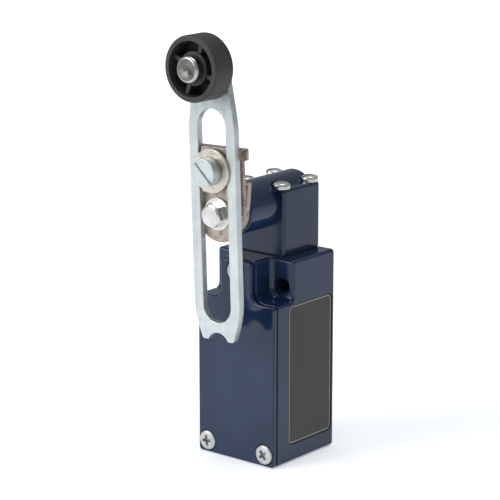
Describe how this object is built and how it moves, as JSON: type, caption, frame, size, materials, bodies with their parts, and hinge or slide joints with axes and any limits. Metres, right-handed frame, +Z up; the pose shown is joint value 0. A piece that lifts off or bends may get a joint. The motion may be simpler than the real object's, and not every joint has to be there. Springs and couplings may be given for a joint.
{
  "type": "limit switch",
  "caption": "Limit switch with a box housing, a screwed-on head, and a slotted lever of settable length that carries a roller.",
  "frame": {"origin": "midway between the two mounting holes, on the flat mounting face at the back of the housing", "axes": "+Z up along the housing towards the roller, +Y out of the mounting face, +X to the side that carries the type label"},
  "size_m": [0.03, 0.0507, 0.1346],
  "materials": {
    "enamel": "semi-gloss",
    "zinc_lever": "bluish zinc plate",
    "zinc_screws": "matt zinc plate",
    "bright_steel": "bright nickel plate",
    "yellow_zinc": "yellow chromate",
    "machined_steel": "turned",
    "bronze": "sintered",
    "contact_brass": "satin",
    "roller_plastic": "moulded",
    "block_plastic": "moulded",
    "light_plastic": "moulded",
    "label_foil": "satin print",
    "seal_rubber": "matt"
  },
  "bodies": {
    "root": {"housing": "enamel", "front_cover": "enamel", "cover_gasket": "seal_rubber", "cover_screws": "zinc_screws", "type_label": "label_foil", "earth_screw": "yellow_zinc", "head_housing": "enamel", "head_gasket": "seal_rubber", "head_screws": "bright_steel", "shaft_seal": "seal_rubber", "front_bush": "bronze", "rear_bush": "bronze", "tappet_guide": "light_plastic", "tappet_spring": "machined_steel", "contact_base": "block_plastic", "contact_lid": "light_plastic", "block_screws": "yellow_zinc", "break_terminals": "contact_brass", "make_terminals": "contact_brass", "terminal_clamps": "yellow_zinc", "terminal_screws": "zinc_screws", "return_spring": "machined_steel"},
    "shaft": {"shaft": "machined_steel", "cam": "machined_steel", "cam_pin": "machined_steel", "retaining_ring": "machined_steel", "toothed_hub": "yellow_zinc", "lever_hub": "yellow_zinc", "hub_washer": "bright_steel", "hub_bolt": "bright_steel", "clamp_washer": "yellow_zinc", "clamp_spring_washer": "zinc_screws", "clamp_screw": "zinc_lever"},
    "lever": {"lever": "zinc_lever", "roller_pin": "bright_steel", "roller_washer": "zinc_screws"},
    "roller": {"roller": "roller_plastic"},
    "tappet": {"tappet": "machined_steel"},
    "contact_carrier": {"contact_carrier": "light_plastic", "break_bridge": "contact_brass", "make_bridge": "contact_brass", "contact_springs": "machined_steel"}
  },
  "joints": [
    {"name": "lever_turn", "type": "hinge", "parent": "root", "child": "shaft", "pos_m": [0, -0.034, 0.024], "axis": [0, 1, 0], "range_deg": [-75, 75], "stiffness_Nm_per_rad": 0.15},
    {"name": "lever_length", "type": "slide", "parent": "shaft", "child": "lever", "axis": [-0.0349, 0, 0.9994], "range_m": [-0.0075, 0.027]},
    {"name": "roller_spin", "type": "hinge", "parent": "lever", "child": "roller", "pos_m": [-0.00157, -0.04435, 0.06887], "axis": [0, 1, 0], "continuous": true},
    {"name": "tappet_push", "type": "slide", "parent": "root", "child": "tappet", "axis": [0, 0, -1], "range_m": [0, 0.002], "stiffness_N_per_m": 600, "springref_m": -0.003, "deforming": ["tappet_spring"]},
    {"name": "contact_travel", "type": "slide", "parent": "root", "child": "contact_carrier", "axis": [0, 0, -1], "range_m": [0, 0.002], "deforming": ["return_spring"]}
  ],
  "couplings": [
    {"joint": "contact_travel", "follows": "tappet_push", "ratio": 1}
  ]
}
